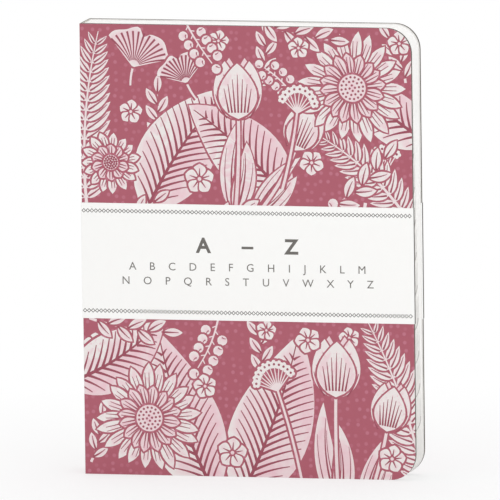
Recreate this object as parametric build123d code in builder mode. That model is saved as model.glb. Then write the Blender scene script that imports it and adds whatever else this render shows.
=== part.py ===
from build123d import *
import os

os.makedirs("parts", exist_ok=True)

# A pocket address book that stands on its tail, in millimetres. +Z runs up to the head, +X out to
# the fore-edge and +Y through the book from the front cover to the back cover. The origin is the
# middle of the tail.

# Covers: grey board with printed paper outside and an endpaper inside, cut flush with the leaves
cover_width = 112.0
cover_height = 150.0
corner_radius = 8.5
cover_paper = 0.12
cover_board = 1.4
endpaper = 0.13

# Leaves: one gathering of folded sheets for each pair of letters
letter_pairs = ["ab", "cd", "ef", "gh", "ij", "kl", "mn", "op", "qr", "st", "uv", "wx", "yz"]
leaves_per_section = 6
leaf_paper = 0.13
section_gap = 0.05
leaf_inset = 0.25

# Stepped index: each gathering but the last is cut back below its own tab
first_tab = 17.4
tab_depth = 10.0
tab_radius = 8.5
step_fillet = 1.2

# Spine: lining card and sewing between the spine paper and the backs of the gatherings
spine_lining = 0.4
lining_margin = 0.1
thread_room = 0.35
thread_diameter = 0.3
stitch_stations = 6
station_margin = 16.0
hinge_gap = 0.05

# The spine creases between two gatherings when the book opens at its middle
sections_before_crease = 6
crease_gap = 0.06

# Paper band: wraps the covers and the spine, with a flap folded round each cover's fore-edge
band_paper = 0.18
band_height = 38.5
band_foot = 52.0
band_flap = 30.0
band_clear = 0.04
flap_clear = 0.13

# Thicknesses that follow from these, front to back
cover = cover_paper + cover_board + endpaper
flap_space = band_clear + band_paper + flap_clear
section = leaves_per_section * leaf_paper
section_pitch = section + section_gap
block = len(letter_pairs) * section_pitch - section_gap
thickness = 2 * (cover + flap_space) + block

# Places of the outer faces, the leaves and the crease
fore_edge = cover_width / 2
spine_face = -cover_width / 2
front_face = -thickness / 2
back_face = thickness / 2
cover_start = spine_face + cover_paper + hinge_gap
lining_start = spine_face + cover_paper
thread_start = lining_start + spine_lining
leaf_start = thread_start + thread_room
leaf_end = fore_edge - leaf_inset
leaf_tail = leaf_inset
leaf_head = cover_height - leaf_inset
leaf_corner = corner_radius - leaf_inset
block_front = front_face + cover + flap_space
block_back = block_front + block
crease = block_front + sections_before_crease * section_pitch - section_gap / 2
crease_front = crease - crease_gap / 2
crease_back = crease + crease_gap / 2
tab_pitch = (leaf_head - leaf_tail - first_tab) / (len(letter_pairs) - 1)


def finish(piece, label):
    """Names a finished piece and writes it."""
    piece.part.label = label
    export_step(piece.part, f"parts/{label}.step")


def cover_layer(label, near_face, layer_thickness):
    """One layer of a cover: square at the spine, round at both fore-edge corners."""
    with BuildPart() as layer:
        with BuildSketch(Plane.XZ.offset(-near_face - layer_thickness)) as outline:
            with Locations((cover_start, 0)):
                Rectangle(fore_edge - cover_start, cover_height, align=(Align.MIN, Align.MIN))
            fillet(outline.vertices().group_by(Axis.X)[-1], corner_radius)
        extrude(amount=layer_thickness)
    finish(layer, label)


def upright_strip(label, start_x, strip_thickness, start_y, end_y, foot, height):
    """A flat strip that stands along the spine."""
    with BuildPart() as strip:
        with BuildSketch(Plane.XY.offset(foot)):
            with Locations((start_x, start_y)):
                Rectangle(strip_thickness, end_y - start_y, align=(Align.MIN, Align.MIN))
        extrude(amount=height)
    finish(strip, label)


def link_stitches(label, start_y, end_y):
    """The stitches that run across the backs of one half's gatherings, in one column."""
    station_pitch = (cover_height - 2 * station_margin) / (stitch_stations - 1)
    with BuildPart() as thread:
        with BuildSketch(Plane.XZ.offset(-end_y)):
            with Locations((thread_start + thread_room / 2, cover_height / 2)):
                with GridLocations(0, station_pitch, 1, stitch_stations):
                    Circle(thread_diameter / 2)
        extrude(amount=end_y - start_y)
    finish(thread, label)


def index_section(number, letters):
    """A gathering of leaves, cut back below its tab, with round corners at the head and the tab's foot."""
    near_face = block_front + number * section_pitch
    cut_edge = leaf_end - tab_depth
    tab_foot = leaf_head - first_tab - number * tab_pitch
    last = number == len(letter_pairs) - 1
    with BuildPart() as gathering:
        with BuildSketch(Plane.XZ.offset(-near_face - section)) as outline:
            with Locations((leaf_start, leaf_tail)):
                Rectangle(leaf_end - leaf_start, leaf_head - leaf_tail, align=(Align.MIN, Align.MIN))
            if not last:
                with Locations((cut_edge, leaf_tail)):
                    Rectangle(
                        tab_depth,
                        tab_foot - leaf_tail,
                        align=(Align.MIN, Align.MIN),
                        mode=Mode.SUBTRACT,
                    )
                fillet(outline.vertices().sort_by_distance((leaf_end, tab_foot))[0], tab_radius)
                fillet(outline.vertices().sort_by_distance((cut_edge, tab_foot))[0], step_fillet)
            else:
                fillet(outline.vertices().sort_by_distance((leaf_end, leaf_tail))[0], leaf_corner)
            fillet(outline.vertices().sort_by_distance((leaf_end, leaf_head))[0], leaf_corner)
        extrude(amount=section)
    finish(gathering, f"index_section_{letters}")


def band_side(label, side):
    """The band over one cover: a panel outside, a fold round the fore-edge and a flap inside."""
    panel_inner = front_face - band_clear
    panel_outer = panel_inner - band_paper
    flap_outer = front_face + cover + band_clear
    flap_inner = flap_outer + band_paper
    fold_inner = fore_edge + band_clear
    fold_outer = fold_inner + band_paper
    flap_end = fore_edge - band_flap
    corners = [
        (spine_face, panel_outer),
        (fold_outer, panel_outer),
        (fold_outer, flap_inner),
        (flap_end, flap_inner),
        (flap_end, flap_outer),
        (fold_inner, flap_outer),
        (fold_inner, panel_inner),
        (spine_face, panel_inner),
    ]
    with BuildPart() as sheet:
        with BuildSketch(Plane.XY.offset(band_foot)):
            with BuildLine():
                Polyline([(x, side * y) for x, y in corners], close=True)
            make_face()
        extrude(amount=band_height)
    finish(sheet, label)


# Covers, from the outer face of each inwards
cover_layer("front_cover_paper", front_face, cover_paper)
cover_layer("front_cover_board", front_face + cover_paper, cover_board)
cover_layer("front_endpaper", front_face + cover_paper + cover_board, endpaper)
cover_layer("back_cover_paper", back_face - cover_paper, cover_paper)
cover_layer("back_cover_board", back_face - cover_paper - cover_board, cover_board)
cover_layer("back_endpaper", back_face - cover, endpaper)

# Spine, parted at the crease
lining_front = front_face + cover + lining_margin
lining_back = back_face - cover - lining_margin
upright_strip("spine_paper_front", spine_face, cover_paper, front_face, crease_front, 0, cover_height)
upright_strip("spine_paper_back", spine_face, cover_paper, crease_back, back_face, 0, cover_height)
upright_strip("spine_lining_front", lining_start, spine_lining, lining_front, crease_front, 0, cover_height)
upright_strip("spine_lining_back", lining_start, spine_lining, crease_back, lining_back, 0, cover_height)
link_stitches("sewing_thread_front", block_front, crease_front)
link_stitches("sewing_thread_back", crease_back, block_back)

# Leaves
for number, letters in enumerate(letter_pairs):
    index_section(number, letters)

# Band
band_spine = spine_face - band_clear - band_paper
band_front_end = front_face - band_clear - band_paper
band_back_end = back_face + band_clear + band_paper
band_side("band_front", 1)
band_side("band_back", -1)
upright_strip(
    "band_spine_front", band_spine, band_paper, band_front_end, crease_front, band_foot, band_height
)
upright_strip("band_spine_back", band_spine, band_paper, crease_back, band_back_end, band_foot, band_height)
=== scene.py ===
# %% [markdown]
# # A pocket address book with a stepped index
# The book stands on its tail: printed board covers, thirteen gatherings of leaves cut into index steps at
# the fore-edge, and a white paper band tucked round the covers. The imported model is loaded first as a
# fixed frame, so every piece made below takes its place and its size from it, in metres.

# %% Load the frame
import math
from collections import namedtuple
import bpy
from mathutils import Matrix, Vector
from mathutils.geometry import delaunay_2d_cdt


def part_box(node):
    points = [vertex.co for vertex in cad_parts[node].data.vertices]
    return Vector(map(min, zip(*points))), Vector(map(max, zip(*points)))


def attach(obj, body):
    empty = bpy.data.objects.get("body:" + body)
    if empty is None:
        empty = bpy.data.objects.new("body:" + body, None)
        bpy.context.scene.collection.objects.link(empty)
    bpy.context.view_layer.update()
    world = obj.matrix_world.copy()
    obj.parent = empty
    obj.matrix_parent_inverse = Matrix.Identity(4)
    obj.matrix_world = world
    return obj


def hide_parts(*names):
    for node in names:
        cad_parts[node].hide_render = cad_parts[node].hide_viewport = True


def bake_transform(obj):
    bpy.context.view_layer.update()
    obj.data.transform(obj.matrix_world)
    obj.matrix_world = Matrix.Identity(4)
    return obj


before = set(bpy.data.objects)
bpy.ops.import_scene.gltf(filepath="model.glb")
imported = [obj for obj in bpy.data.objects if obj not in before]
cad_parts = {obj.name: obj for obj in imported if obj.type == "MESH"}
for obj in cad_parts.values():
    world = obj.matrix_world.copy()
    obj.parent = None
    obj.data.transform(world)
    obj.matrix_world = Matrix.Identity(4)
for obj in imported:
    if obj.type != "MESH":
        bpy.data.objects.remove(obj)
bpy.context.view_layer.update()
bpy.context.scene.view_settings.view_transform = "Standard"
MM = 0.001

# %% [markdown]
# ## Places read from the frame
# A printed sheet lies on a board, so its outer face is where the cover paper's outer face is. Reading the
# boxes of the nodes keeps these numbers true if the part is made thicker; typing them again would let them
# drift. Places are in metres; the three sizes of the flat print are in millimetres.

# %% Faces and sizes of the covers
front_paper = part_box("front_cover_paper")
spine_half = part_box("spine_paper_front")
front_face = front_paper[0][1]
back_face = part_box("back_cover_paper")[1][1]
spine_face = spine_half[0][0]
fore_edge = front_paper[1][0]
cover_height = front_paper[1][2]
crease = (spine_half[1][1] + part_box("spine_paper_back")[0][1]) / 2
cover_wide = (fore_edge - spine_face) / MM
cover_tall = cover_height / MM
book_thick = (back_face - front_face) / MM
print("cover", round(cover_wide, 2), "by", round(cover_tall, 2), "mm, book", round(book_thick, 2), "mm")

# %% [markdown]
# ## Small helpers
# Operators act on what is selected, and the frame arrives selected, so each step starts from nothing
# selected. In edit mode, edges and faces are picked by where they are, as with the mouse: a test is given
# the middle of each one and says yes or no.


# %% Objects
def start_clean():
    """Deselects everything."""
    bpy.ops.object.select_all(action="DESELECT")


def work_on(*pieces):
    """Selects only these pieces and makes the first one active."""
    start_clean()
    for piece in pieces:
        piece.select_set(True)
    bpy.context.view_layer.objects.active = pieces[0]


def settle(piece):
    """Puts a piece's place and scale into its mesh, so that the object sits at the origin."""
    work_on(piece)
    bpy.ops.object.transform_apply(location=True, rotation=True, scale=True)


def set_all(item, **settings):
    """Sets several properties at once."""
    for name, value in settings.items():
        setattr(item, name, value)
    return item


def apply_modifier(piece, kind, **settings):
    """Adds a modifier with these settings and applies it."""
    work_on(piece)
    modifier = set_all(piece.modifiers.new(kind.title(), kind), **settings)
    bpy.ops.object.modifier_apply(modifier=modifier.name)


def repeat(piece, count, offset):
    """Makes a row or a stack of copies."""
    how = {"use_relative_offset": False, "use_constant_offset": True, "constant_offset_displace": offset}
    apply_modifier(piece, "ARRAY", count=count, **how)


def join_pieces(pieces, name):
    """Joins meshes into the first one and names it."""
    work_on(*pieces)
    bpy.ops.object.join()
    pieces[0].name = name
    pieces[0].data.name = name
    return pieces[0]


print("object helpers ready")


# %% Edit mode
def select_all():
    """Selects the whole mesh."""
    bpy.ops.mesh.select_all(action="SELECT")


def edit_mode():
    """Opens the active piece with all of it selected."""
    bpy.ops.object.mode_set(mode="EDIT")
    select_all()


def object_mode():
    """Closes the active piece again."""
    bpy.ops.object.mode_set(mode="OBJECT")


def pick(piece, part, test):
    """Selects only the vertices, edges or polygons whose middle passes the test."""
    bpy.ops.mesh.select_mode(type={"vertices": "VERT", "edges": "EDGE", "polygons": "FACE"}[part])
    bpy.ops.mesh.select_all(action="DESELECT")
    object_mode()
    points = piece.data.vertices
    for item in getattr(piece.data, part):
        corners = [item.index] if part == "vertices" else item.vertices
        middle = sum((points[i].co for i in corners), Vector()) / len(corners)
        item.select = bool(test(middle))
    bpy.ops.object.mode_set(mode="EDIT")


def extrude(x, y, z):
    """Extrudes what is selected by this much."""
    bpy.ops.mesh.extrude_region_move(TRANSFORM_OT_translate={"value": (x, y, z)})


def close_shell():
    """Turns all faces outwards and leaves edit mode."""
    select_all()
    bpy.ops.mesh.normals_make_consistent(inside=False)
    object_mode()


def upright_sheet(low, high, face):
    """A flat upright rectangle between two corners, at this depth, that faces the front."""
    start_clean()
    middle = ((low[0] + high[0]) / 2, face, (low[2] + high[2]) / 2)
    bpy.ops.mesh.primitive_plane_add(size=1, location=middle, rotation=(math.pi / 2, 0, 0))
    sheet = bpy.context.object
    sheet.scale = (high[0] - low[0], high[2] - low[2], 1)
    settle(sheet)
    return sheet


print("edit helpers ready")

# %% [markdown]
# ## Paper, as a shader group
# Almost everything here is paper or board, which close up shows a cloudy unevenness where fibres bunch,
# and a fine tooth of single fibres. One node group gives both, as a colour and a height, and each finish
# places it with its own values. Adding and linking a node takes several lines, so helpers do it in one.


# %% Node helpers
def feed(tree, node, sources):
    """Gives inputs of a node, by name or number, a link or a plain value."""
    for socket, source in sources.items():
        if isinstance(source, bpy.types.NodeSocket):
            tree.links.new(source, node.inputs[socket])
        else:
            node.inputs[socket].default_value = source


def add_node(tree, kind, sources=None, **settings):
    """Adds a node, sets its properties, feeds it and returns its outputs."""
    node = set_all(tree.nodes.new(kind), **settings)
    feed(tree, node, sources or {})
    return node.outputs


def calc(tree, operation, *sources):
    """A maths node."""
    return add_node(tree, "ShaderNodeMath", dict(enumerate(sources)), operation=operation)[0]


def remap(tree, *sources):
    """A clamped map range node: a value, from low, from high, to low, to high."""
    return add_node(tree, "ShaderNodeMapRange", dict(enumerate(sources)))[0]


def mix_colour(tree, factor, first, second):
    """A colour mix node."""
    return add_node(tree, "ShaderNodeMix", {0: factor, 6: first, 7: second}, data_type="RGBA")[2]


def noise(tree, place, scale, detail=2.0, roughness=0.5):
    """A noise texture."""
    sources = {"Vector": place, "Scale": scale, "Detail": detail, "Roughness": roughness}
    return add_node(tree, "ShaderNodeTexNoise", sources)["Fac"]


def object_place(tree):
    """Where a point is in the book's own frame."""
    return add_node(tree, "ShaderNodeTexCoord")["Object"]


def object_axes(tree):
    """The same place as separate X, Y and Z."""
    return add_node(tree, "ShaderNodeSeparateXYZ", {0: object_place(tree)})


print("node helpers ready")

# %% The shared paper group
cloud_scale, fibre_scale = 260.0, 2600.0
paper_group = bpy.data.node_groups.new("paper_fibres", "ShaderNodeTree")
for way, labels in (("INPUT", "Color Cloud Tooth Roughness"), ("OUTPUT", "Color Roughness Height")):
    for label in labels.split():
        kind = "NodeSocketColor" if label == "Color" else "NodeSocketFloat"
        paper_group.interface.new_socket(label, in_out=way, socket_type=kind)
inside = add_node(paper_group, "NodeGroupInput")
place = object_place(paper_group)
clouds = noise(paper_group, place, cloud_scale, 3.0, 0.55)
fibres = noise(paper_group, place, fibre_scale, 4.0, 0.7)
cloud_shift = calc(paper_group, "MULTIPLY", calc(paper_group, "SUBTRACT", clouds, 0.5), inside["Cloud"])
tooth_shift = calc(paper_group, "MULTIPLY", calc(paper_group, "SUBTRACT", fibres, 0.5), inside["Tooth"])
shade = calc(paper_group, "ADD", calc(paper_group, "ADD", 1.0, cloud_shift), tooth_shift)
tint = {"Vector": inside["Color"], "Scale": shade}
result = {
    "Color": add_node(paper_group, "ShaderNodeVectorMath", tint, operation="SCALE")[0],
    "Roughness": calc(paper_group, "MULTIPLY_ADD", tooth_shift, 2.0, inside["Roughness"]),
    "Height": calc(paper_group, "MULTIPLY_ADD", clouds, 0.6, fibres),
}
add_node(paper_group, "NodeGroupOutput", result)
print("group", paper_group.name, "with", len(paper_group.nodes), "nodes")

# %% [markdown]
# ## A finish that uses the group
# Colours are easiest to choose as they look on a screen, and shaders work in linear light, so a helper
# turns one into the other. A finish joins the paper group to a Principled shader. Its colour is a plain
# one, or a function that draws a pattern. The first finish is the bare cut edge of the cover's print.

# %% Paper finishes
solid_view_tint = (0.6, 0.4, 0.4, 1)


def srgb(*levels):
    """A colour on a screen, as the linear one that a shader works in."""
    shares = [level / 255 for level in levels]
    return (*[s / 12.92 if s <= 0.04045 else ((s + 0.055) / 1.055) ** 2.4 for s in shares], 1)


def paper_finish(name, colour, cloud=0.05, tooth=0.06, roughness=0.75, bump=0.25, bump_height=0.02 * MM):
    """A paper material; colour is a plain one or a function that draws it in the tree."""
    drawn = callable(colour)
    finish = bpy.data.materials.new(name)
    finish.use_nodes = True
    finish.diffuse_color = solid_view_tint if drawn else colour
    tree = finish.node_tree
    base = colour(tree) if drawn else colour
    sheet = {"Color": base, "Cloud": cloud, "Tooth": tooth, "Roughness": roughness}
    paper = add_node(tree, "ShaderNodeGroup", sheet, node_tree=paper_group)
    relief = {"Strength": bump, "Distance": bump_height, "Height": paper["Height"]}
    feed(tree, tree.nodes["Principled BSDF"], {
        "Base Color": paper["Color"],
        "Roughness": paper["Roughness"],
        "Normal": add_node(tree, "ShaderNodeBump", relief)["Normal"],
        "Specular IOR Level": 0.3,
    })
    return finish


paper_edge = paper_finish("print_paper_edge", srgb(226, 220, 214))
print("finish", paper_edge.name)

# %% [markdown]
# ## The inks of the cover
# The cover is a rose ground with paler dots, and pale plants printed over it. The dots are loose, so a
# Voronoi texture with some randomness suits them better than a grid. It reads a place on the flat sheet
# that the mesh stores, so the dots go round the spine and stay put when it bends. A plant is off-white and
# blushes pink along its veins; the blush is stored in the mesh too. The veins are a shade deeper than the
# ground.

# %% Rose ground, pale ink and deep ink
rose = srgb(173, 94, 109)
rose_dot = srgb(188, 115, 132)
rose_line = srgb(155, 79, 94)
off_white = srgb(238, 235, 232)
blush_pink = srgb(235, 200, 208)
dot_scale, wash_scale = 360.0, 420.0


def stored(tree, name):
    """What the mesh stores under this name."""
    return add_node(tree, "ShaderNodeAttribute", attribute_name=name)


def dotted_rose(tree):
    """Rose ink with soft paler dots, some of them fainter."""
    spread = {"Vector": stored(tree, "flat_place")["Vector"], "Scale": dot_scale, "Randomness": 0.6}
    cells = add_node(tree, "ShaderNodeTexVoronoi", spread, voronoi_dimensions="2D")
    dot = remap(tree, cells["Distance"], 0.17, 0.27, 1.0, 0.0)
    fade = remap(tree, cells["Color"], 0.15, 0.6, 0.25, 1.0)
    return mix_colour(tree, calc(tree, "MULTIPLY", dot, fade), rose, rose_dot)


def blushing_white(tree):
    """Off-white ink that turns pink where the mesh says so."""
    wash = noise(tree, stored(tree, "flat_place")["Vector"], wash_scale)
    uneven = remap(tree, wash, 0.3, 0.7, 0.75, 1.1)
    depth = calc(tree, "MULTIPLY", stored(tree, "blush")["Fac"], uneven)
    return mix_colour(tree, depth, off_white, blush_pink)


rose_ground = paper_finish("rose_ground", dotted_rose, 0.05, 0.05, 0.6, 0.15)
pale_ink = paper_finish("pale_ink", blushing_white, 0.03, 0.03, 0.6, 0.15)
deep_ink = paper_finish("deep_ink", rose_line, 0.05, 0.05, 0.6, 0.15)
print("inks", rose_ground.name, pale_ink.name, deep_ink.name)

# %% [markdown]
# ## Drawing plants as outlines
# The cover has a plain garden print of asters, tulips, fern fronds, ginkgo leaves and berries. It could be
# a texture, but print has crisp edges at any size, so each plant is drawn as outlines, in millimetres on
# the flat sheet. A place on it is across, up and a heading, so that one stroke can start where another
# ends. Most plants come from three strokes: a blade, which is a leaf or a petal, a tapering line, and a
# disc. Each shape goes on top of those before it, and where pale plants overlap, a thin rim in the rose of
# the ground parts them, as in a block print.


# %% Places and curved lines
def at(x, z, heading):
    """A place on the flat sheet, with its heading in degrees."""
    return x, z, math.radians(heading)


def step(place, along=0.0, across=0.0, turn=0.0):
    """A place moved and turned in its own direction."""
    x, z, heading = place
    east, north = math.cos(heading), math.sin(heading)
    return x + along * east - across * north, z + along * north + across * east, heading + turn


def arc_place(length, bend, t):
    """Where a curved line of this length is after part t of it, and which way it heads."""
    if abs(bend) < 1e-4:
        return length * t, 0.0, 0.0
    return length * math.sin(bend * t) / bend, length * (1 - math.cos(bend * t)) / bend, bend * t


def along_line(place, length, bend, t):
    """The place at part t of a curved line that starts at a place."""
    return step(place, *arc_place(length, bend, t))


print("a bent line of 20 mm ends at", along_line(at(0, 0, 90), 20, 0.5, 1))


# %% Outlines of blades, lines and discs
def ribbon(length, bend, halves):
    """The right side of a curved strip and its left side back, from its half widths at parts t."""
    right, left = [], []
    for t, half in halves:
        middle = arc_place(length, bend, t)
        right.append(step(middle, 0, -half)[:2])
        left.append(step(middle, 0, half)[:2])
    return right, left[::-1]


def half_width(width, belly, t):
    """Half the width of a blade at part t of its length, widest at belly."""
    return width / 2 * math.sin(math.pi * t ** (math.log(0.5) / math.log(belly))) ** 0.85


def blade(length, width, belly, bend, steps):
    """The outline of a leaf or petal, from its foot."""
    parts = [n / steps for n in range(1, steps)]
    right, left = ribbon(length, bend, [(t, half_width(width, belly, t)) for t in parts])
    return [(0, 0)] + right + [arc_place(length, bend, 1)[:2]] + left


def half_blade(length, width, belly, bend, steps):
    """The right half of a blade, from its midrib out."""
    midrib = [arc_place(length, bend, n / steps)[:2] for n in range(steps - 1, 0, -1)]
    return blade(length, width, belly, bend, steps)[:steps + 1] + midrib


def taper(length, thick, thin, bend=0.0, steps=5):
    """The outline of a line that thins towards its end."""
    halves = [(n / steps, (thick + (thin - thick) * n / steps) / 2) for n in range(steps + 1)]
    right, left = ribbon(length, bend, halves)
    return right + left


def disc(radius, steps=12):
    """A round spot."""
    return [step((0, 0, 2 * math.pi * n / steps), radius)[:2] for n in range(steps)]


print("points in a line and in a disc:", len(taper(9, 1, 0)), len(disc(1)))

# %% Drawing a shape
ROSE, PALE, VEIN, BARE = range(4)
HALO = 0.7
Shape = namedtuple("Shape", "tone ring blush")
drawing = []


def draw(tone, outline, place, blush=0.0):
    """Adds an outline to the drawing, on top of what is there."""
    drawing.append(Shape(tone, [step(place, x, z)[:2] for x, z in outline], blush))


def draw_blade(place, length, width, belly, bend, blush, steps=11):
    """A pale blade with a rose rim."""
    draw(ROSE, blade(length + 2 * HALO, width + 2 * HALO, belly, bend, steps), step(place, -HALO))
    draw(PALE, blade(length, width, belly, bend, steps), place, blush)


def draw_disc(place, radius, blush, steps=12):
    """A pale disc with a rose rim."""
    draw(ROSE, disc(radius + HALO, steps), place)
    draw(PALE, disc(radius, steps), place, blush)


print("rose rims are", HALO, "mm wide")

# %% [markdown]
# ## Leaves and berries
# A plant is a short recipe: where its strokes start along a curved stalk, how they turn away from it and
# how they shrink towards the tip. Sizes in a recipe are shares of the plant's own; only the thickness of
# lines is in millimetres, because a pen has one nib.


# %% Broad leaves and fronds
def veined_leaf(place, length, width, bend):
    """A broad leaf with one half in shade, a midrib and curved side veins."""
    belly, steps = 0.42, 18
    vein_gap, vein_turn, vein_bend = 3.4, 0.68, 0.3
    draw_blade(place, length, width, belly, bend, 0.1, steps)
    draw(PALE, half_blade(length, width, belly, bend, steps), place, 0.65)
    pairs = round(length / vein_gap)
    for n in range(pairs):
        t = 0.05 + 0.85 * n / pairs
        root = along_line(place, length, bend, t)
        reach = half_width(width, belly, min(1, t + 0.1)) * 1.2
        for side in (1, -1):
            draw(VEIN, taper(reach, 0.95, 0.3, side * vein_bend), step(root, 0, 0, side * vein_turn))
    draw(VEIN, taper(length * 0.95, 1.3, 0.35, bend, 12), place)


def fern(place, length, bend, pairs, reach):
    """A frond: a curved stalk with pairs of narrow leaflets that shorten to the tip."""
    for n in range(pairs):
        t = 0.1 + 0.88 * n / pairs
        root = along_line(place, length, bend, t)
        size = reach * (0.25 + 0.75 * math.sin(math.pi * (0.18 + 0.8 * t)))
        for side in (1, -1):
            leaflet = step(root, 0, side * 0.2, side * (1.15 - 0.35 * t))
            curl = -side * 0.25
            draw_blade(leaflet, size, size * 0.3, 0.4, curl, 0.15, 8)
            draw(VEIN, taper(size * 0.78, 0.62, 0.18, curl), step(leaflet, size * 0.08))
    draw(PALE, taper(length, 1.1, 0.3, bend, 14), place, 0.4)


print("broad leaves and fronds ready")


# %% Twigs with leaves or berries
def sprig(place, length, bend, leaves, size=6.5):
    """A twig with leaves on both sides and one at its end."""
    blush = 0.2
    draw(PALE, taper(length, 0.9, 0.4, bend, 10), place, 0.5)
    for n in range(leaves):
        root = along_line(place, length, bend, 0.12 + 0.8 * n / leaves)
        side = 1 if n % 2 else -1
        leaf = step(root, 0, 0, side * 0.75)
        curl = -side * 0.3
        draw_blade(leaf, size, size * 0.42, 0.5, curl, blush)
        draw(VEIN, taper(size * 0.8, 0.7, 0.2, curl), leaf)
    tip = along_line(place, length, bend, 0.98)
    draw_blade(tip, size * 0.95, size * 0.4, 0.5, 0.0, blush)
    draw(VEIN, taper(size * 0.75, 0.7, 0.2), tip)


def berries(place, length, bend, pairs=5, size=1.7):
    """A twig with round berries on short stalks."""
    draw(PALE, taper(length, 0.7, 0.4, bend, 8), place, 0.5)
    last = pairs * 2
    for n in range(last + 1):
        root = along_line(place, length, bend, min(1, 0.22 + 0.78 * n / last))
        side = 0 if n == last else (1 if n % 2 else -1)
        stalk = step(root, 0, 0, side * 0.95)
        draw(PALE, taper(size * 1.6, 0.4, 0.35), stalk, 0.5)
        berry = step(stalk, size * 2.3)
        draw_disc(berry, size, 0.3)
        draw(VEIN, taper(size * 0.9, 0.45, 0.15, 1.2), step(berry, -size * 0.5, size * 0.35))


print("twigs ready")


# %% Ginkgo leaves
def ginkgo_fan(radius, grow):
    """A fan with a wavy rim and a notch in its middle, larger all round by grow."""
    half_angle, notch_angle, steps = 1.02, 0.11, 28
    rim = []
    for n in range(steps + 1):
        a = -half_angle + 2 * half_angle * n / steps
        wave = 1 + 0.035 * math.sin(9 * a) - 0.2 * math.exp(-((a / notch_angle) ** 2))
        rim.append(step((0, 0, a), radius * wave + grow)[:2])
    return [(-grow, -0.4 - grow)] + rim + [(-grow, 0.4 + grow)]


def ginkgo(place, radius):
    """A fan-shaped leaf on a bent stalk, with spreading ribs."""
    stalk = step(place, 0.6, 0, math.pi)
    draw(ROSE, taper(7, 0.8 + 2 * HALO, 0.6 + 2 * HALO, 0.35), stalk)
    draw(PALE, taper(7, 0.8, 0.6, 0.35), stalk, 0.4)
    draw(ROSE, ginkgo_fan(radius, HALO), place)
    draw(PALE, ginkgo_fan(radius, 0), place, 0.2)
    for n in range(-6, 7):
        rib = step(step(place, 0, 0, 0.15 * n), radius * 0.17)
        draw(VEIN, taper(radius * 0.74, 0.25, 0.7, 0.05 * n), rib)


print("points round a fan:", len(ginkgo_fan(10, 0)))

# %% [markdown]
# ## Flowers
# Flowers are the same blades set round a middle: an aster has two rings of narrow petals and a dotted
# heart, a tulip is a cup of five broad ones, an umbel spreads florets on rays, and blossoms fill the gaps.


# %% Asters and blossoms
def aster(x, z, radius, petals, turn=0.0):
    """Long petals, a second shorter ring and a dotted heart."""
    foot, heart = radius * 0.12, radius * 0.24
    for ring, (reach, count, blush) in enumerate(((1.0, petals, 0.1), (0.62, petals - 5, 0.6))):
        for n in range(count):
            a = turn + ring * 0.13 + 2 * math.pi * n / count
            size = radius * reach * (0.95 + 0.05 * math.sin(5.3 * n))
            width = 2 * math.pi * radius * reach * 0.66 / count * (1.15 if ring else 1.0)
            petal = step((x, z, a), foot)
            draw_blade(petal, size - foot, width, 0.66, 0.12 * math.sin(2.1 * n), blush)
            for side in (1, -1):
                line = step(petal, size * 0.22, side * width * 0.13, side * 0.025)
                draw(VEIN, taper(size * 0.48, 0.55, 0.2), line)
    draw_disc((x, z, 0), heart, 0.6, 24)
    for ring, count in ((0.8, 16), (0.5, 10), (0.2, 4)):
        for n in range(count):
            a = 2 * math.pi * (n + 0.5 * ring) / count
            draw(VEIN, disc(0.4, 8), step((x, z, a), heart * ring))


def blossom(x, z, radius, turn):
    """A small five-petalled flower."""
    for n in range(5):
        petal = (x, z, turn + 2 * math.pi * n / 5)
        draw_blade(petal, radius, radius * 0.86, 0.62, 0.0, 0.1)
        draw(VEIN, taper(radius * 0.5, 0.6, 0.2), step(petal, radius * 0.2))
    draw(ROSE, disc(radius * 0.24), (x, z, 0))
    draw(PALE, disc(radius * 0.13, 8), (x, z, 0), 0.6)


print("asters and blossoms ready")


# %% Tulips and umbels
def tulip(place, size, stem, bend):
    """A cup of five petals on a stem with two long leaves."""
    for side, reach in ((1, 0.95), (-1, 0.75)):
        leaf = step(place, 0, 0, side * 0.32)
        draw_blade(leaf, stem * reach, size * 0.34, 0.4, -side * 0.5, 0.3, 16)
        draw(VEIN, taper(stem * reach * 0.85, 0.9, 0.2, -side * 0.5, 10), leaf)
        for across in (-0.08, 0.08):
            line = step(leaf, stem * 0.1, across * size)
            draw(VEIN, taper(stem * reach * 0.62, 0.5, 0.15, -side * 0.4, 8), line)
    draw(ROSE, taper(stem, 2.2, 2.2, bend, 8), place)
    draw(PALE, taper(stem, 1.1, 1.0, bend, 8), place, 0.5)
    foot = step(along_line(place, stem, bend, 1), -size * 0.04)
    for turn, reach, wide, blush in (
        (0.3, 0.98, 0.42, 0.75),
        (-0.3, 0.98, 0.42, 0.75),
        (0.5, 0.95, 0.46, 0.25),
        (-0.5, 0.95, 0.46, 0.25),
        (0, 0.88, 0.62, 0.15),
    ):
        petal = step(foot, 0, 0, turn)
        curl = -turn * 1.15
        draw_blade(petal, size * reach, size * wide, 0.42, curl, blush, 14)
        for n in range(-3, 4):
            line = step(petal, size * 0.1, n * size * 0.05, n * 0.06)
            draw(VEIN, taper(size * reach * (0.68 - 0.08 * abs(n)), 0.65, 0.2, curl * 0.8), line)


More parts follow.
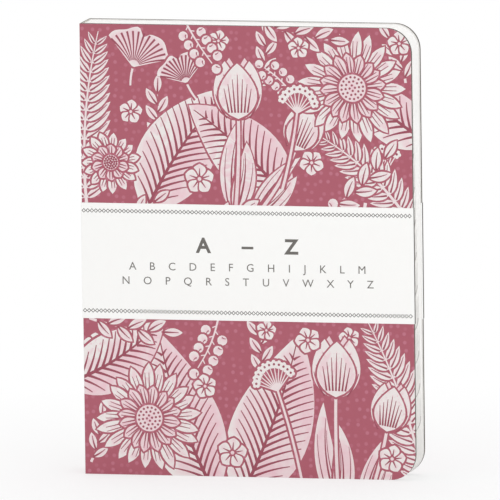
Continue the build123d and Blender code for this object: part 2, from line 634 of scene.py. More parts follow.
def umbel(place, stem, rays, reach):
    """A flat head of small florets on rays that spread like ribs."""
    bend, spread, floret = 0.15, 1.9, 1.5
    head = along_line(place, stem, bend, 1)
    turns = [spread * (n / (rays - 1) - 0.5) for n in range(rays)]
    ribs = [(step(head, 0, 0, turn), reach * (0.88 + 0.12 * math.cos(2 * turn))) for turn in turns]
    draw(ROSE, taper(stem, 0.9 + 2 * HALO, 0.7 + 2 * HALO, bend, 6), place)
    for rib, size in ribs:
        draw(ROSE, taper(size, 0.5 + 2 * HALO, 0.3 + 2 * HALO), rib)
        draw(ROSE, disc(floret + HALO), step(rib, size))
    draw(PALE, taper(stem, 0.9, 0.7, bend, 6), place, 0.5)
    for rib, size in ribs:
        draw(PALE, taper(size, 0.5, 0.3), rib, 0.4)
        for k in range(5):
            draw(PALE, disc(0.66, 8), step(step(rib, size, 0, 1.257 * k), 0.88), 0.1)
        draw(VEIN, disc(0.42, 8), step(rib, size))


print("tulips and umbels ready")

# %% [markdown]
# ## Laying out the front cover
# What is drawn first lies furthest back: small fillers, then the large leaves of a group, its flowers and
# the small things over them. One group is above the band, one mostly under it and one below it. Places are
# in millimetres from the spine's corner and from the tail.

# %% Small plants behind the rest
sprig(at(28, 108, 104), 20, -0.3, 6)
sprig(at(110, 132, 96), 16, 0.5, 5)
sprig(at(60, 128, 70), 20, 0.4, 6, 6)
berries(at(74, 124, 118), 16, 0.5, 4, 1.4)
umbel(at(108, 90, 104), 14, 8, 7)
blossom(17, 121, 4, 0.2)
blossom(108, 145, 4, 0.4)
blossom(47, 145, 3.6, 0.1)
sprig(at(60, 30, 84), 22, 0.3, 6)
sprig(at(2, 4, 64), 16, 0.4, 5, 6)
berries(at(66, -2, 70), 20, 0.3, 4, 1.5)
blossom(4, 43, 4.2, 0.3)
blossom(90, 47, 3.6, 0.5)
blossom(62, 49, 3.4, 0.2)
print("outlines so far", len(drawing))

# %% The group above the band
veined_leaf(at(22, 88, 66), 50, 25, -0.35)
veined_leaf(at(70, 92, 128), 46, 22, 0.3)
fern(at(2, 86, 96), 62, -0.35, 17, 11)
fern(at(112, 84, 122), 44, 0.5, 13, 9)
veined_leaf(at(118, 112, 150), 34, 17, -0.3)
tulip(at(52, 88, 84), 21, 32, 0.12)
tulip(at(58, 86, 48), 17, 28, 0.35)
aster(92, 130, 19, 21)
ginkgo(at(18, 136, 70), 13)
ginkgo(at(36, 131, 110), 10)
umbel(at(68, 96, 74), 26, 9, 8)
sprig(at(60, 152, -24), 26, 0.35, 6, 7)
berries(at(35, 153, -64), 17, 0.2, 4, 1.6)
aster(10, 104, 10.5, 15, 0.2)
sprig(at(84, 90, 28), 26, 0.5, 6, 7.5)
blossom(40, 99, 5, 0.3)
blossom(78, 105, 4.2, 0.9)
blossom(74, 143, 3.6, 0.4)
print("outlines so far", len(drawing))

# %% The group under the band
sprig(at(4, 80, 20), 24, 0.3, 7)
sprig(at(66, 58, -4), 22, 0.3, 6, 6)
fern(at(96, 92, -100), 34, 0.3, 11, 7)
blossom(36, 86, 4, 0.2)
blossom(70, 86, 4, 0.5)
veined_leaf(at(30, 62, 150), 40, 19, 0.3)
veined_leaf(at(84, 60, 20), 38, 19, -0.2)
aster(56, 72, 16, 19, 0.1)
sprig(at(36, 70, 60), 26, -0.5, 7, 8)
berries(at(82, 66, 70), 22, 0.4)
ginkgo(at(14, 76, 60), 11)
blossom(104, 56, 4, 0.2)
print("outlines so far", len(drawing))

# %% The group below the band
fern(at(116, -6, 100), 62, 0.3, 17, 11)
veined_leaf(at(52, -8, 62), 60, 27, 0.25)
veined_leaf(at(44, -6, 118), 58, 26, -0.3)
veined_leaf(at(-6, 30, 20), 40, 19, 0.45)
tulip(at(86, -10, 94), 21, 38, -0.1)
tulip(at(94, -12, 68), 17, 30, 0.2)
umbel(at(74, -4, 100), 34, 11, 9)
aster(22, 19, 18.5, 21, 0.12)
sprig(at(2, 52, -18), 26, 0.3, 6, 7)
berries(at(46, 54, -100), 18, -0.4, 4, 1.7)
blossom(50, 8, 5, 0.2)
blossom(76, 46, 4.4, 0.7)
blossom(41, 30, 4, 0.5)
blossom(104, 7, 4.6, 0.1)
front_print = list(drawing)
print("outlines on the front cover", len(front_print))

# %% [markdown]
# ## Laying out the back and the spine
# The print is one sheet round the whole book. Unrolled, the spine lies left of the front cover and the
# back cover left of the spine. The back is laid out from its own fore-edge and then moved over; the spine
# has a column of small plants under what runs over from the covers.

# %% Small plants on the back cover
drawing.clear()
sprig(at(26, 118, 100), 26, -0.3, 8)
sprig(at(104, 100, 100), 22, 0.3, 6)
sprig(at(112, 10, 100), 24, 0.3, 7)
sprig(at(2, 34, 80), 20, -0.3, 6)
sprig(at(98, 60, 80), 22, -0.4, 6)
sprig(at(50, 34, 70), 22, 0.3, 7)
sprig(at(60, 140, 40), 16, 0.4, 5, 6)
sprig(at(46, 100, 100), 22, 0.3, 7, 6)
sprig(at(40, 88, -10), 26, -0.4, 7)
berries(at(84, 40, 100), 14, 0.3, 3, 1.6)
berries(at(4, 120, 90), 18, -0.3, 4, 1.6)
berries(at(44, 66, 100), 18, 0.3, 4, 1.5)
berries(at(110, 66, 110), 18, 0.3, 4, 1.5)
blossom(4, 98, 4.2, 0.3)
blossom(72, 148, 4, 0.2)
blossom(62, 50, 4, 0.1)
print("outlines so far", len(drawing))

# %% Leaves and flowers of the back cover
fern(at(4, -6, 80), 56, 0.2, 16, 11)
fern(at(116, 92, 112), 60, -0.2, 17, 10)
fern(at(66, 50, 140), 30, -0.3, 10, 7)
veined_leaf(at(44, -6, 112), 56, 25, 0.3)
veined_leaf(at(106, -6, 104), 56, 25, 0.35)
veined_leaf(at(-4, 104, 48), 44, 21, 0.3)
veined_leaf(at(78, 90, 100), 54, 24, 0.25)
veined_leaf(at(48, 90, 140), 42, 19, -0.3)
veined_leaf(at(22, 56, 20), 36, 17, 0.4)
aster(71, 20, 18.5, 21, 0.05)
tulip(at(20, -10, 88), 21, 40, 0.1)
tulip(at(34, -12, 70), 17, 34, -0.15)
tulip(at(30, 88, 92), 20, 34, -0.15)
tulip(at(90, 88, 84), 16, 26, 0.2)
aster(84, 72, 14, 18, 0.1)
aster(59, 128, 15, 19, 0.15)
umbel(at(44, 90, 70), 20, 9, 8)
ginkgo(at(10, 70, 60), 12)
ginkgo(at(99, 130, 74), 11)
ginkgo(at(42, 42, 110), 10)
sprig(at(112, 52, 164), 28, 0.3, 8, 7)
sprig(at(2, 150, -30), 24, 0.4, 6, 7)
berries(at(80, 152, -70), 18, 0.4, 4, 1.6)
blossom(92, 44, 5, 0.2)
blossom(46, 8, 4.6, 0.5)
blossom(13, 47, 4, 0.1)
blossom(37, 143, 4.2, 0.4)
blossom(72, 97, 4.4, 0.3)
print("outlines on the back cover", len(drawing))

# %% The back at its place on the sheet
fold_reach = 0.3
fold_radius = 2 * fold_reach / (math.pi / 2)
spine_wide = book_thick - 2 * (fold_radius - fold_reach)


def moved(shapes, new_place):
    """The same shapes at a new place across the sheet."""
    return [s._replace(ring=[(new_place(x), z) for x, z in s.ring]) for s in shapes]


back_print = moved(drawing, lambda x: x - spine_wide - cover_wide)
print("flat spine", round(spine_wide, 2), "mm wide, fold radius", round(fold_radius, 2), "mm")

# %% The column on the spine
drawing.clear()
column = -spine_wide / 2
sprig(at(column + 1, 1, 93), 38, -0.1, 12, 7)
blossom(column, 46, 4.4, 0.2)
sprig(at(column, 56, 88), 26, 0.2, 8)
sprig(at(column - 1, 92, 88), 32, 0.1, 10, 7)
blossom(column, 131, 4.6, 0.4)
berries(at(column, 136, 92), 12, 0.1, 4, 1.5)
whole_print = drawing + front_print + back_print
print("outlines in the whole print", len(whole_print))

# %% [markdown]
# ## Cutting and wrapping the sheet
# To lie flush in one sheet, the outlines have to be cut into it. Boolean or knife cuts would be slow with
# thousands of outlines; a constrained triangulation does all of them at once and says which outlines cover
# each triangle, so the topmost one gives its ink. The folds are cut in as lines, so the sheet bends there.
# Past the spine's corner it turns a small round fold and runs on over the spine. A plain back closes it, a
# paper's thickness in; Solidify would copy every cut to the side that nobody sees. The mesh stores two
# things that a material can't know: how much the pale ink blushes at each corner of a face, and where each
# point is on the flat sheet.


# %% Cut the flat sheet
def turned_right(outline):
    """The outline with its points anticlockwise."""
    area = sum(a[0] * b[1] - b[0] * a[1] for a, b in zip(outline, outline[1:] + outline[:1]))
    return outline if area > 0 else outline[::-1]


def cut_flat(shapes, folds):
    """Cuts shapes and folds into the first shape: points, faces with their top shape, points on veins."""
    overshoot = 0.5
    points, rings, owner = [], [], []
    for shape in shapes:
        owner += [len(rings)] * len(shape.ring)
        rings.append(list(range(len(points), len(points) + len(shape.ring))))
        points += [Vector(p) for p in turned_right(shape.ring)]
    lines = []
    for across in folds:
        lines.append((len(points), len(points) + 1))
        points += [Vector((across, -overshoot)), Vector((across, cover_tall + overshoot))]
        owner += [0, 0]
    flat, _, cut, point_source, _, face_source = delaunay_2d_cdt(points, lines, rings, 0, 1e-4)
    faces = [(face, max(ids)) for face, ids in zip(cut, face_source) if 0 in ids]
    on_vein = [any(shapes[owner[i]].tone == VEIN for i in ids) for ids in point_source]
    return flat, faces, on_vein


print("shapes to cut", len(whole_print))


# %% Wrap and close
def wrapped(across, up, side, inset=0.0):
    """A point of the flat sheet, in space: side is -1 for the front cover and 1 for the back."""
    radius = fold_radius - inset
    turn = min(1, max(0, (across + fold_reach) / (2 * fold_reach))) * math.pi / 2
    x = fold_radius - radius * math.cos(turn) + max(0, across - fold_reach)
    depth = book_thick / 2 - fold_radius + radius * math.sin(turn) + min(0, across + fold_reach)
    return spine_face + x * MM, side * depth * MM, up * MM


def add_back(flat, faces, folds):
    """The plain back of a cut sheet, with its rim; it bends at the folds only."""
    sides = {(a, b) for face in faces for a, b in zip(face, face[1:] + face[:1])}
    rim = [(a, b) for a, b in sides if (b, a) not in sides]
    ring = sorted({a for a, _ in rim})
    number = {a: n for n, a in enumerate(ring)}
    lines = [(number[a], number[b]) for a, b in rim]
    for across in folds:
        ends = sorted((flat[a].y, number[a]) for a in ring if abs(flat[a].x - across) < 1e-4)
        lines.append((ends[0][1], ends[-1][1]))
    _, _, back, source, _, _ = delaunay_2d_cdt([flat[a] for a in ring], lines, [], 1, 1e-5)
    start = len(flat)
    edge_faces = [[b, a, start + number[a], start + number[b]] for a, b in rim]
    back_faces = [[start + source[i][0] for i in reversed(face)] for face in back]
    return [flat[a] for a in ring], edge_faces + back_faces


print("the spine's corner is at", [round(v / MM, 2) for v in wrapped(0, 0, -1)], "mm")

# %% Store the inks and make a sheet
sheet_thick = 0.115
vein_blush = 0.6


def store_inks(mesh, shapes, faces, on_vein):
    """Gives each cut face its ink, leaves the rest bare paper, and stores the blush."""
    tones, blush = [], []
    for face, top in faces:
        tones.append(shapes[top].tone)
        blush += [min(1.0, shapes[top].blush + vein_blush * on_vein[i]) for i in face]
    tones += [BARE] * (len(mesh.polygons) - len(tones))
    blush += [0.0] * (len(mesh.loops) - len(blush))
    for finish in (rose_ground, pale_ink, deep_ink, paper_edge):
        mesh.materials.append(finish)
    mesh.polygons.foreach_set("material_index", tones)
    mesh.attributes.new("blush", "FLOAT", "CORNER").data.foreach_set("value", blush)


def store_places(mesh, points, side):
    """Stores where each point is on the whole flat sheet, in metres."""
    places = []
    for p in points:
        across = p.x if side < 0 else -spine_wide - p.x
        places += [across * MM, p.y * MM, 0.0]
    mesh.attributes.new("flat_place", "FLOAT_VECTOR", "POINT").data.foreach_set("vector", places)


def cut_sheet(name, outline, shapes, folds, side):
    """An outline with every shape cut into it, wrapped round the spine's corner."""
    left, right = min(p[0] for p in outline) - 1, max(p[0] for p in outline) + 1
    near = [s for s in shapes if max(p[0] for p in s.ring) > left and min(p[0] for p in s.ring) < right]
    near.insert(0, Shape(ROSE, outline, 0.0))
    flat, faces, on_vein = cut_flat(near, folds)
    cut_faces = [face for face, _ in faces]
    inner, plain_faces = add_back(flat, cut_faces, folds)
    space = [wrapped(p.x, p.y, side) for p in flat] + [wrapped(p.x, p.y, side, sheet_thick) for p in inner]
    mesh = bpy.data.meshes.new(name)
    mesh.from_pydata(space, [], cut_faces + plain_faces)
    store_inks(mesh, near, faces, on_vein)
    store_places(mesh, list(flat) + inner, side)
    sheet = bpy.data.objects.new(name, mesh)
    bpy.context.collection.objects.link(sheet)
    work_on(sheet)
    edit_mode()
    bpy.ops.mesh.delete_loose()
    if side > 0:
        select_all()
        bpy.ops.mesh.flip_normals()
    object_mode()
    bpy.ops.object.shade_smooth_by_angle(angle=math.radians(30))
    print(name, "shapes", len(near) - 1, "faces", len(mesh.polygons))
    return sheet


# %% [markdown]
# ## Three sheets
# The print is cut in three: a sheet for each cover and one for the spine, with a short lap of each cover's
# sheet round the corner of the spine, where the parting hides in the print. Fold lines are cut into the
# covers' sheets at the corners of the spine and into the spine's sheet at its crease.

# %% The front sheet, the back sheet and the spine
lap = 2.4
corner_radius = 8.5
corner_steps = 12
cover_end = cover_wide - (fold_radius - fold_reach)
cover_outline = [(-lap, 0.0)]
for up, start in ((corner_radius, -90), (cover_tall - corner_radius, 0)):
    for n in range(corner_steps + 1):
        corner = at(cover_end - corner_radius, up, start + 90 * n / corner_steps)
        cover_outline.append(step(corner, corner_radius)[:2])
cover_outline.append((-lap, cover_tall))
fold_lines = [fold_reach * (n / 3 - 1) for n in range(7)]
print_front = cut_sheet("print_front", cover_outline, whole_print, fold_lines, -1)
seen_from_back = moved(whole_print, lambda x: -spine_wide - x)
print_back = cut_sheet("print_back", cover_outline, seen_from_back, fold_lines, 1)
spine_outline = [(lap - spine_wide, 0), (-lap, 0), (-lap, cover_tall), (lap - spine_wide, cover_tall)]
crease_at = -(crease - front_face) / MM + fold_radius - fold_reach
crease_lines = [crease_at + fold_reach * n for n in range(-3, 4)]
print_spine = cut_sheet("print_spine", spine_outline, whole_print, crease_lines, -1)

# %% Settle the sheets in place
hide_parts("front_cover_paper")
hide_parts("back_cover_paper")
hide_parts("spine_paper_front", "spine_paper_back")
for sheet, half, cover, face, inward in (
    (print_front, "front_half", "front_cover", front_face, 1),
    (print_back, "back_half", "back_cover", back_face, -1),
):
    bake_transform(sheet)
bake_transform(print_spine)

# %% [markdown]
# ## Boards, endpapers, lining and thread
# These keep their solids, which already have the shapes of cut board and card, and only need finishes. The
# board is grey with flecks of waste paper, and its bare cut edge is the dark line round each cover. The
# spine is lined with a thinner card of the same kind; the thread is a linen two-ply.

# %% Board, lining and thread colours
dark_scale, pale_scale = 1700.0, 900.0
skin_thick = 0.02 * MM
twist = 0.4 * MM


def flecked_grey(tree):
    """Grey board with flecks."""
    spot = object_place(tree)
    flecks = remap(tree, noise(tree, spot, dark_scale, 3.0, 0.65), 0.56, 0.7, 0.0, 1.0)
    pale = remap(tree, noise(tree, spot, pale_scale, 3.0, 0.6), 0.62, 0.75, 0.0, 0.5)
    dark = mix_colour(tree, flecks, srgb(72, 67, 60), srgb(52, 48, 43))
    return mix_colour(tree, pale, dark, srgb(108, 102, 93))


def pasted_card(tree):
    """Grey lining card with a white pasted skin on its inner face."""
    inner_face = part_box("spine_lining_front")[1][0]
    skin = calc(tree, "GREATER_THAN", object_axes(tree)["X"], inner_face - skin_thick)
    return mix_colour(tree, skin, flecked_grey(tree), srgb(238, 234, 226))


def twisted(tree):
    """A two-ply thread: slanting bands."""
    axes = object_axes(tree)
    slant = calc(tree, "ADD", axes["Y"], axes["Z"])
    wave = calc(tree, "SINE", calc(tree, "MULTIPLY", slant, 2 * math.pi / twist))
    ply = remap(tree, wave, -0.9, 0.4, 0.0, 1.0)
    return mix_colour(tree, ply, srgb(190, 180, 160), srgb(238, 232, 216))


print("one twist of the thread is", twist / MM, "mm")

# %% Finishes for the kept solids
grey_board = paper_finish("grey_board", flecked_grey, 0.12, 0.2, 0.9, bump=0.5, bump_height=0.05 * MM)
endpaper = paper_finish("endpaper", srgb(248, 246, 243), 0.05, 0.06, 0.8)
lining_card = paper_finish("lining_card", pasted_card, 0.08, 0.12, 0.85, bump=0.35, bump_height=0.03 * MM)
linen_thread = paper_finish("linen_thread", twisted, 0.05, 0.1, 0.85)
kept_solids = {
    "{}_cover_board": grey_board,
    "{}_endpaper": endpaper,
    "spine_lining_{}": lining_card,
    "sewing_thread_{}": linen_thread,
}
for node, finish in kept_solids.items():
    for half in ("front", "back"):
        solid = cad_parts[node.format(half)]
        solid.data.materials.clear()
        solid.data.materials.append(finish)
        print(solid.name, "is", finish.name)

# %% [markdown]
# ## Pages, plain inks and painted shade
# A page is warm white with thin writing lines inside its margins. The lines are printed, so the material
# draws them: the height is divided into rows, and the first few hundredths of a row are ink. The other
# finishes are plain greys: ink for type; painted shade for the line at the foot of a tab, which stands in
# for the shadow of the step; and, darker, ink for the band's chains, which is also painted shade down the
# band's folds.

# %% Page finish with ruled lines
row_pitch = 7.5 * MM
row_ink = 0.03
ruled_across = (-47 * MM, 40.5 * MM)
ruled_up = (13.5 * MM, 128.5 * MM)


def ruled_page(tree):
    """Warm white paper with thin grey writing lines inside the margins."""
    axes = object_axes(tree)
    row = calc(tree, "FRACT", calc(tree, "DIVIDE", axes["Z"], row_pitch))
    line = calc(tree, "LESS_THAN", row, row_ink)
    for value, (low, high) in ((axes["X"], ruled_across), (axes["Z"], ruled_up)):
        line = calc(tree, "MULTIPLY", line, calc(tree, "GREATER_THAN", value, low))
        line = calc(tree, "MULTIPLY", line, calc(tree, "LESS_THAN", value, high))
    return mix_colour(tree, line, srgb(252, 251, 249), srgb(196, 178, 180))


leaf_paper = paper_finish("leaf_paper", ruled_page, 0.03, 0.04, 0.8)
type_ink = paper_finish("type_ink", srgb(112, 109, 105), 0.05, 0.1, 0.7)
# painted shade: the grey line at each tab's foot stands in for the shadow of the step
painted_step_shade = paper_finish("painted_step_shade", srgb(198, 196, 193), 0.05, 0.1, 0.7)
# dark ink for the band's chains; the same colour is painted shade down the band's folds
chain_ink_and_fold_shade = paper_finish("chain_ink_and_fold_shade", srgb(82, 78, 76), 0.05, 0.1, 0.7)
print("page with a line every", row_pitch / MM, "mm")

# %% [markdown]
# ## The gatherings of leaves
# Each pair of letters has six leaves, cut back below its tab so that the next tab shows. One leaf is made
# as by hand: two bisects cut a plane, the waste corner is deleted, a vertex bevel rounds the corners, and
# the leaf is extruded to the thickness of paper. An array then stacks the six.

# %% One leaf, cut by hand
near_enough = 1e-5
leaf_inset = 0.25
leaf_corner = (corner_radius - leaf_inset) * MM
leaf_pitch = 0.13 * MM
leaf_gap = 0.012 * MM
tab_depth = 10 * MM
tab_radius = 8.5 * MM
step_fillet = 1.2 * MM


def round_corner(piece, x, z, radius):
    """Rounds the corner of the flat leaf at this place."""
    pick(piece, "vertices", lambda p: abs(p.x - x) < near_enough and abs(p.z - z) < near_enough)
    bpy.ops.mesh.bevel(offset=radius, segments=10, affect="VERTICES", offset_type="OFFSET")


def cut_leaf(low, high, tab_foot):
    """A leaf with its index step; tab_foot is None for the last gathering, which isn't cut."""
    leaf = upright_sheet(low, high, low[1])
    edit_mode()
    if tab_foot is None:
        round_corner(leaf, high[0], low[2], leaf_corner)
    else:
        cut_edge = high[0] - tab_depth
        for spot, normal in (((cut_edge, 0, 0), (1, 0, 0)), ((0, 0, tab_foot), (0, 0, 1))):
            select_all()
            bpy.ops.mesh.bisect(plane_co=spot, plane_no=normal)
        pick(leaf, "polygons", lambda p: p.x > cut_edge and p.z < tab_foot)
        bpy.ops.mesh.delete(type="FACE")
        select_all()
        bpy.ops.mesh.dissolve_faces()
        round_corner(leaf, high[0], tab_foot, tab_radius)
        round_corner(leaf, cut_edge, tab_foot, step_fillet)
    round_corner(leaf, high[0], high[2], leaf_corner)
    select_all()
    bpy.ops.mesh.dissolve_limited(angle_limit=math.radians(0.1))
    select_all()
    extrude(0, leaf_pitch - leaf_gap, 0)
    close_shell()
    return leaf


print("leaves are", round((leaf_pitch - leaf_gap) / MM, 3), "mm thick")

# %% [markdown]
# ## Type and painted step shade
# The letters on a tab are a text object turned into a mesh, a few thousandths of a millimetre thick, so it
# reads as ink. A thin grey line along the round foot of a tab is painted shade: it stands in for the
# shadow where the tab steps down to the next gathering. It could be a bevelled curve; here a short strip
# is spun through a quarter turn, which keeps it flat.

# %% Type ink and painted step shade on the tabs
type_relief = 0.003 * MM
line_relief = 0.004 * MM
line_wide = 0.22 * MM
line_inset = 0.3 * MM


def set_type(letters, size, x, face, z, spacing=1.0, bold=0.0):
    """Flat type on a face that looks to the front, centred on x and z."""
    start_clean()
    bpy.ops.object.text_add(location=(x, face, z), rotation=(math.pi / 2, 0, 0))
    line = bpy.context.object
    set_all(line.data, body=letters, size=size, space_character=spacing, offset=bold, extrude=type_relief)
    set_all(line.data, align_x="CENTER", align_y="CENTER", resolution_u=3)
    bpy.ops.object.convert(target="MESH")
    settle(line)
    line.data.materials.append(type_ink)
    return line


def tab_line(fore, foot, face):
    """A grey line along the round foot of a tab, painted shade for the step below it."""
    start_x, start_z, half = fore - tab_radius, foot + line_inset, line_wide / 2
    stub = 0.1 * MM
    low, high = (start_x - stub, face, start_z - half), (start_x + stub, face, start_z + half)
    line = upright_sheet(low, high, face)
    edit_mode()
    pick(line, "edges", lambda p: p.x > start_x + stub / 2)
    middle = (start_x, face, foot + tab_radius)
    bpy.ops.mesh.spin(steps=12, angle=math.pi / 2, center=middle, axis=(0, 1, 0))
    select_all()
    bpy.ops.mesh.remove_doubles(threshold=1e-7)
    select_all()
    extrude(0, -line_relief, 0)
    close_shell()
    line.data.materials.append(painted_step_shade)
    return line


print("ink stands", type_relief / MM, "mm proud")

# %% Thirteen gatherings
letter_pairs = ["ab", "cd", "ef", "gh", "ij", "kl", "mn", "op", "qr", "st", "uv", "wx", "yz"]
leaves_each = 6
first_tab = 17.4 * MM
letter_size, letter_inset = 4.4 * MM, 6.2 * MM
for number, pair in enumerate(letter_pairs):
    low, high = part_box(f"index_section_{pair}")
    last = pair == letter_pairs[-1]
    tab_pitch = (high[2] - low[2] - first_tab) / (len(letter_pairs) - 1)
    tab_foot = None if last else high[2] - first_tab - number * tab_pitch
    leaf = cut_leaf(low, high, tab_foot)
    repeat(leaf, leaves_each, (0, leaf_pitch, 0))
    leaf.data.materials.append(leaf_paper)
    foot = low[2] if last else tab_foot
    type_x, type_z = high[0] - letter_inset, foot + letter_inset
    marks = [set_type(" ".join(pair.upper()), letter_size, type_x, low[1], type_z)]
    if not last:
        # the tab's painted step shade, a grey line along its round foot
        marks.append(tab_line(high[0], tab_foot, low[1]))
    gathering = join_pieces([leaf] + marks, f"leaves_{pair}")
    body = "front_half" if number == 0 else "back_half" if last else f"section_{pair}"
    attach(gathering, body)
    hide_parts(f"index_section_{pair}")
    print(gathering.name, "on", body, "faces", len(gathering.data.polygons))

# %% [markdown]
# ## The paper band
# The band is one strip of white paper round the covers and the spine, with a flap tucked round each
# fore-edge. Each side starts as a plane; its fore-edge is extruded round the cover and back inside, a
# bevel rounds the two folds, and Solidify gives the paper its thickness. The spine's strips are boxes with
# a lip drawn out to the cover, rounded where they turn the corner.

# %% Folded sides of the band
band_paper = paper_finish("band_paper", srgb(252, 252, 250), 0.02, 0.03, 0.7)
band_thick = 0.18 * MM
ink_thick = 0.006 * MM
flap_reach = 30.2 * MM
fold_round = 0.28 * MM


def look_to(piece, side):
    """Turns a flat piece to the front for side -1 and to the back for side 1."""
    if (piece.data.polygons[0].normal.y < 0) != (side < 0):
        piece.data.flip_normals()


def fold_band_side(node, side):
    """A panel, a fold and a flap, inside the node's box by the thickness of the ink."""
    low, high = [list(corner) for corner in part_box(node)]
    high[0] -= ink_thick
    outer, inner = (low[1], high[1]) if side < 0 else (high[1], low[1])
    outer -= side * ink_thick
    middle = (low[2] + high[2]) / 2
    panel = upright_sheet(low, high, outer)
    edit_mode()
    pick(panel, "edges", lambda p: p.x > high[0] - near_enough)
    extrude(0, inner - outer, 0)
    extrude(-flap_reach, 0, 0)
    pick(panel, "edges", lambda p: p.x > high[0] - near_enough and abs(p.z - middle) < near_enough)
    bpy.ops.mesh.bevel(offset=fold_round, segments=5, affect="EDGES")
    object_mode()
    look_to(panel, side)
    apply_modifier(panel, "SOLIDIFY", thickness=band_thick, offset=-1, use_even_offset=True)
    bpy.ops.object.shade_smooth_by_angle(angle=math.radians(35))
    panel.data.materials.append(band_paper)
    return panel


sides = {"band_front": -1, "band_back": 1}
panels = {node: fold_band_side(node, side) for node, side in sides.items()}
print("faces of the band's sides", [len(panel.data.polygons) for panel in panels.values()])

# %% Strips over the spine
lip_gap = 0.005 * MM
strip_round = 0.16 * MM


def band_spine_strip(node, side):
    """The strip of the band over half the spine, rounded where it turns onto the cover."""
    low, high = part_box(node)
    start_clean()
    middle = [(a + b) / 2 for a, b in zip(low, high)]
    bpy.ops.mesh.primitive_cube_add(size=1, location=middle)
    strip = bpy.context.object
    strip.scale = [b - a for a, b in zip(low, high)]
    settle(strip)
    edit_mode()
    corner = low[1] if side < 0 else high[1]
    pick(strip, "polygons", lambda p: p.x > high[0] - near_enough)
    bpy.ops.mesh.bisect(plane_co=(0, corner - side * band_thick, 0), plane_no=(0, 1, 0))
    pick(strip, "polygons", lambda p: p.x > high[0] - near_enough and abs(p.y - corner) < band_thick)
    extrude(spine_face - high[0] - lip_gap, 0, 0)
    on_corner = Vector((low[0], corner, middle[2]))
    pick(strip, "edges", lambda p: (p - on_corner).length < near_enough)
    bpy.ops.mesh.bevel(offset=strip_round, segments=4, affect="EDGES")
    close_shell()
    bpy.ops.object.shade_smooth_by_angle(angle=math.radians(35))
    strip.name = f"{node}_sheet"
    strip.data.materials.append(band_paper)
    return strip


strip_sides = {"band_spine_front": -1, "band_spine_back": 1}
strips = {node: band_spine_strip(node, side) for node, side in strip_sides.items()}
print("faces of the strips", [len(strip.data.polygons) for strip in strips.values()])

# %% [markdown]
# ## Print and painted fold shade on the band
# A chain of small open diamonds runs along both edges of the band, with the alphabet between them. A
# diamond is a circle of four points with its middle inset and deleted; one array makes the chain and
# another its twin. A dark line down each fold at the fore-edge, in the same ink, is painted shade: the
# fold is white paper, and the line stands in for the shade on its edge.

# %% Chains and painted fold shade
chain_pitch = 1.36 * MM
diamond_radius = 0.75 * MM
diamond_line = 0.2 * MM
chain_margin = 2.6 * MM
chain_start, chain_stop = 0.1 * MM, 0.6 * MM
fold_shade_shorter, fold_shade_narrower = 0.02 * MM, 0.04 * MM


def diamond_chains(node, side):
    """Rows of small open diamonds along both edges of a panel, as flat ink."""
    low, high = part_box(node)
    start_clean()
    face = low[1] + ink_thick if side < 0 else high[1] - ink_thick
    start, end = low[0] + chain_start, high[0] - chain_stop
    bpy.ops.mesh.primitive_circle_add(
        vertices=4, radius=diamond_radius, fill_type="NGON",
        location=(start + chain_pitch / 2, face, low[2] + chain_margin), rotation=(math.pi / 2, 0, 0),
    )
    diamond = bpy.context.object
    settle(diamond)
    edit_mode()
    bpy.ops.mesh.inset(thickness=diamond_line)
    bpy.ops.mesh.delete(type="FACE")
    object_mode()
    look_to(diamond, side)
    apply_modifier(diamond, "SOLIDIFY", thickness=ink_thick, offset=0)
    repeat(diamond, int((end - start) / chain_pitch), (chain_pitch, 0, 0))
    repeat(diamond, 2, (0, 0, high[2] - low[2] - 2 * chain_margin))
    diamond.data.materials.append(chain_ink_and_fold_shade)
    return diamond


def fold_mark(node):
    """A dark line down the fold at the fore-edge, between its round edges: painted shade for the fold's
    edge.
    """
    low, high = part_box(node)
    start_clean()
    middle = (high[0] - ink_thick, (low[1] + high[1]) / 2, (low[2] + high[2]) / 2)
    bpy.ops.mesh.primitive_plane_add(size=1, location=middle, rotation=(0, math.pi / 2, 0))
    mark = bpy.context.object
    mark.scale = (high[2] - low[2] - fold_shade_shorter, high[1] - low[1] - 2 * fold_round - fold_shade_narrower, 1)
    settle(mark)
    apply_modifier(mark, "SOLIDIFY", thickness=ink_thick, offset=0)
    mark.data.materials.append(chain_ink_and_fold_shade)
    return mark


band_marks = {node: [diamond_chains(node, side)] for node, side in sides.items()}
print("faces of the chains", [len(printed[0].data.polygons) for printed in band_marks.values()])

# %% Letters on the band
low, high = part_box("band_front")
band_middle = (low[2] + high[2]) / 2
for letters, size, up, spacing, bold in (
    ("A – Z", 6.9, 5.4, 2.3, 0.2),
    (" ".join("ABCDEFGHIJKLM"), 3.7, -1.7, 1.9, 0.0),
    (" ".join("NOPQRSTUVWXYZ"), 3.7, -6.5, 1.9, 0.0),
):
    line = set_type(letters, size * MM, 0, low[1] + ink_thick, band_middle + up * MM, spacing, bold * MM)
    band_marks["band_front"].append(line)
    print(letters, "is", round(line.dimensions.x / MM, 1), "mm wide")

# %% The band on its bodies
band = {}
for node, panel in panels.items():
    # each side of the band gets its painted fold shade, a dark line down the fold
    band[node] = join_pieces([panel] + band_marks[node] + [fold_mark(node)], f"{node}_sheet")
band.update(strips)
for node, piece in band.items():
    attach(piece, node)
    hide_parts(node)
print("band pieces", len(band))

# %% [markdown]
# ## Floor and backdrop
# The book stands on a white table in front of a white backdrop. Close to it the floor is matt white and
# takes its shadow; further out it fades into the backdrop, so that no horizon shows. Both look fully
# white, but the backdrop lights the book a little less than that, so that whites on it keep their shading.


# %% Floor
fade_near, fade_far = 0.07, 0.22


def seen_directly(tree):
    """One for what the camera sees, also in a reflection, and nought for light on other things."""
    ray = add_node(tree, "ShaderNodeLightPath")
    seen = calc(tree, "MAXIMUM", ray["Is Camera Ray"], ray["Is Glossy Ray"])
    return calc(tree, "MAXIMUM", seen, ray["Is Transmission Ray"])


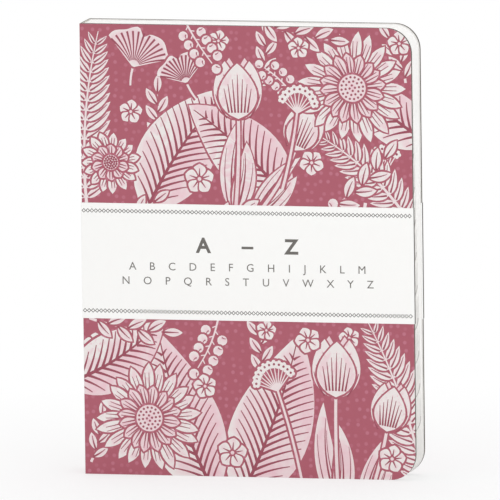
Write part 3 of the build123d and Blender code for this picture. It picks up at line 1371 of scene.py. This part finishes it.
start_clean()
bpy.ops.mesh.primitive_circle_add(vertices=64, radius=4, fill_type="NGON", location=(0, 0, -0.05 * MM))
floor = bpy.context.object
floor.name = "floor"
table = bpy.data.materials.new("white_table")
table.use_nodes = True
tree = table.node_tree
tree.nodes.remove(tree.nodes["Principled BSDF"])
reach = add_node(tree, "ShaderNodeVectorMath", {0: object_place(tree)}, operation="LENGTH")["Value"]
far = remap(tree, reach, fade_near, fade_far, 0.58, 1.0)
both = {
    0: calc(tree, "MULTIPLY", far, seen_directly(tree)),
    1: add_node(tree, "ShaderNodeBsdfDiffuse", {"Color": (0.93, 0.93, 0.93, 1)})[0],
    2: add_node(tree, "ShaderNodeEmission")[0],
}
feed(tree, tree.nodes["Material Output"], {"Surface": add_node(tree, "ShaderNodeMixShader", both)[0]})
floor.data.materials.append(table)
print("floor", table.name)

# %% Backdrop
backdrop_light = 0.75
world = bpy.data.worlds.new("studio")
bpy.context.scene.world = world
world.use_nodes = True
tree = world.node_tree
strength = calc(tree, "MULTIPLY_ADD", seen_directly(tree), 1 - backdrop_light, backdrop_light)
feed(tree, tree.nodes["Background"], {"Color": (1, 1, 1, 1), "Strength": strength})
print("backdrop", world.name)

# %% [markdown]
# ## Lights and camera
# Large soft boxes give the even light of a product picture. The key stands on the right, so that it lights
# the index steps; the fill evens out the cover from the left, and the others light the fore-edge, the head
# and the back. A long lens from far away keeps the covers nearly square, and the camera stands a little to
# the right and above, so that the fore-edge and the head just show.


# %% Five soft boxes
def add_looking(name, data, spot, towards):
    """A light or a camera at this spot that looks this way."""
    item = bpy.data.objects.new(name, data)
    bpy.context.collection.objects.link(item)
    item.location = spot
    item.rotation_euler = towards.to_track_quat("-Z", "Y").to_euler()
    return item


for name, spot, power, size in (
    ("key", (0.95, -1.15, 0.5), 3.3, 1.0),
    ("fill", (-0.6, -1.3, 0.9), 1.6, 1.2),
    ("side", (1.7, -0.2, 0.4), 2.5, 1.0),
    ("top", (0.0, 0.1, 1.5), 3.0, 1.2),
    ("back", (-0.3, 1.3, 0.9), 3.0, 1.2),
):
    lamp = set_all(bpy.data.lights.new(name, "AREA"), energy=power, size=size)
    add_looking(name, lamp, spot, Vector((0, 0, cover_height / 2)) - Vector(spot))
    print(name, power, "W")

# %% Camera
azimuth, elevation, roll = math.radians(13), math.radians(7.6), math.radians(-0.71)
level = math.cos(elevation)
away = Vector((math.sin(azimuth) * level, -math.cos(azimuth) * level, math.sin(elevation)))
lens = set_all(bpy.data.cameras.new("camera"), lens=1500, sensor_width=36)
frame_height = 165.04 * MM
aim = Vector((-0.82 * MM, 0, cover_height / 2 - 0.36 * MM))
distance = frame_height * lens.lens / lens.sensor_width
camera = add_looking("camera", lens, aim + away * distance, -away)
camera.rotation_euler.rotate_axis("Z", roll)
bpy.context.scene.camera = camera
print("camera", [round(v, 3) for v in camera.location])
